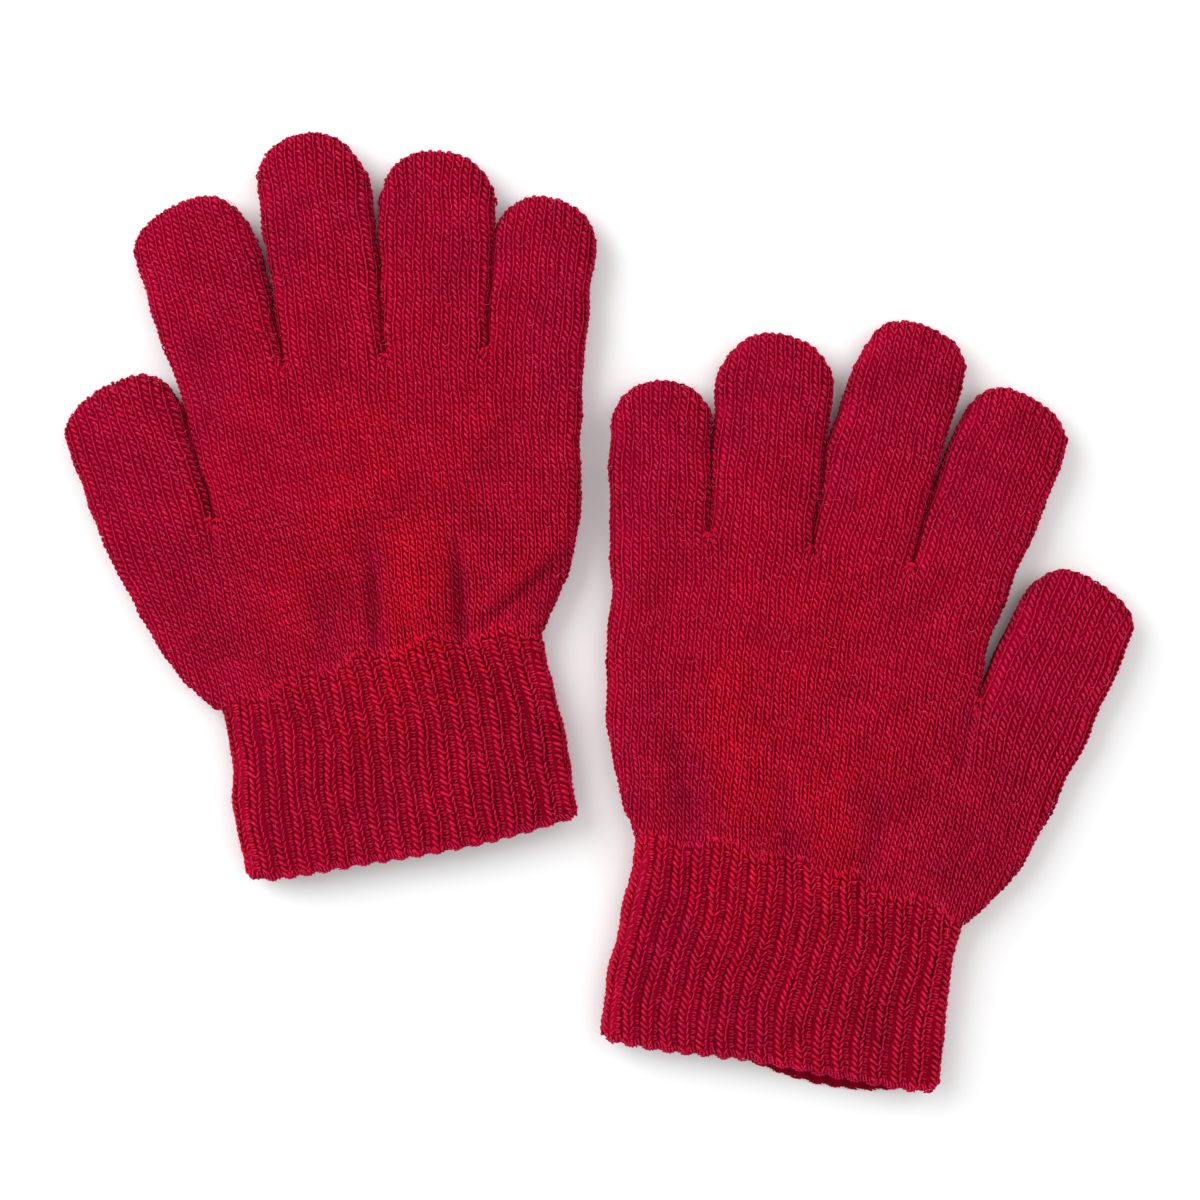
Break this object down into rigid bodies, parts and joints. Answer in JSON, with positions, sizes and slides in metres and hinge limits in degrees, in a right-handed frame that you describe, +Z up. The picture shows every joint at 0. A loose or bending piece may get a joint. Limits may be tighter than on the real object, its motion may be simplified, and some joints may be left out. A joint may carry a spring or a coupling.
{
  "type": "knitted gloves",
  "caption": "Pair of plain knitted stretch gloves with full fingers and ribbed elastic cuffs, lying flat side by side; fingers, thumbs and cuffs bend.",
  "frame": {"origin": "middle of the pair's footprint, on the surface the gloves lie on", "axes": "+Z up from the surface, +Y towards the fingertips, +X from the left glove to the right glove"},
  "size_m": [0.2292, 0.2059, 0.0086],
  "materials": {
    "knit_yarn": "soft, slightly fuzzy fine-gauge knit",
    "binding_yarn": "overlocked yarn edge",
    "elastic": "yarn-covered elastic thread"
  },
  "bodies": {
    "left_palm": {"left_upper_palm": "knit_yarn", "left_lower_palm": "knit_yarn"},
    "right_palm": {"right_upper_palm": "knit_yarn", "right_lower_palm": "knit_yarn"},
    "left_index_finger": {"left_index_finger": "knit_yarn"},
    "left_middle_finger": {"left_middle_finger": "knit_yarn"},
    "left_ring_finger": {"left_ring_finger": "knit_yarn"},
    "left_little_finger": {"left_little_finger": "knit_yarn"},
    "left_thumb": {"left_thumb": "knit_yarn"},
    "left_cuff": {"left_rib_cuff": "knit_yarn", "left_cuff_edge_binding": "binding_yarn", "left_cuff_elastic_thread": "elastic"},
    "right_little_finger": {"right_little_finger": "knit_yarn"},
    "right_ring_finger": {"right_ring_finger": "knit_yarn"},
    "right_middle_finger": {"right_middle_finger": "knit_yarn"},
    "right_index_finger": {"right_index_finger": "knit_yarn"},
    "right_thumb": {"right_thumb": "knit_yarn"},
    "right_cuff": {"right_rib_cuff": "knit_yarn", "right_cuff_edge_binding": "binding_yarn", "right_cuff_elastic_thread": "elastic"}
  },
  "joints": [
    {"name": "left_index_finger_bend", "type": "hinge", "parent": "left_palm", "child": "left_index_finger", "pos_m": [-0.07975, 0.05253, 0.0086], "axis": [0.9987, 0.0519, 0], "range_deg": [0, 90]},
    {"name": "left_middle_finger_bend", "type": "hinge", "parent": "left_palm", "child": "left_middle_finger", "pos_m": [-0.057, 0.05371, 0.0086], "axis": [0.9987, 0.0519, 0], "range_deg": [0, 90]},
    {"name": "left_ring_finger_bend", "type": "hinge", "parent": "left_palm", "child": "left_ring_finger", "pos_m": [-0.0354, 0.05483, 0.0086], "axis": [0.9987, 0.0519, 0], "range_deg": [0, 90]},
    {"name": "left_little_finger_bend", "type": "hinge", "parent": "left_palm", "child": "left_little_finger", "pos_m": [-0.0139, 0.05595, 0.0086], "axis": [0.9987, 0.0519, 0], "range_deg": [0, 90]},
    {"name": "left_thumb_bend", "type": "hinge", "parent": "left_palm", "child": "left_thumb", "pos_m": [-0.094, 0.01575, 0.0086], "axis": [0.9394, 0.3428, 0], "range_deg": [0, 60]},
    {"name": "left_wrist_bend", "type": "hinge", "parent": "left_palm", "child": "left_cuff", "pos_m": [-0.0468, -0.0135, 0.0086], "axis": [-0.9695, -0.2452, 0], "range_deg": [0, 90]},
    {"name": "right_little_finger_bend", "type": "hinge", "parent": "right_palm", "child": "right_little_finger", "pos_m": [0.01285, 0.01755, 0.0086], "axis": [0.9894, -0.1451, 0], "range_deg": [0, 90]},
    {"name": "right_ring_finger_bend", "type": "hinge", "parent": "right_palm", "child": "right_ring_finger", "pos_m": [0.03445, 0.01439, 0.0086], "axis": [0.9894, -0.1451, 0], "range_deg": [0, 90]},
    {"name": "right_middle_finger_bend", "type": "hinge", "parent": "right_palm", "child": "right_middle_finger", "pos_m": [0.05615, 0.0112, 0.0086], "axis": [0.9894, -0.1451, 0], "range_deg": [0, 90]},
    {"name": "right_index_finger_bend", "type": "hinge", "parent": "right_palm", "child": "right_index_finger", "pos_m": [0.07785, 0.00802, 0.0086], "axis": [0.9894, -0.1451, 0], "range_deg": [0, 90]},
    {"name": "right_thumb_bend", "type": "hinge", "parent": "right_palm", "child": "right_thumb", "pos_m": [0.09245, -0.02465, 0.0086], "axis": [0.9016, -0.4326, 0], "range_deg": [0, 60]},
    {"name": "right_wrist_bend", "type": "hinge", "parent": "right_palm", "child": "right_cuff", "pos_m": [0.0429, -0.0584, 0.0086], "axis": [-0.9662, 0.2577, 0], "range_deg": [0, 90]},
    {"name": "right_glove_apart", "type": "slide", "parent": "left_palm", "child": "right_palm", "axis": [1, 0, 0], "range_m": [0, 0.1]}
  ]
}
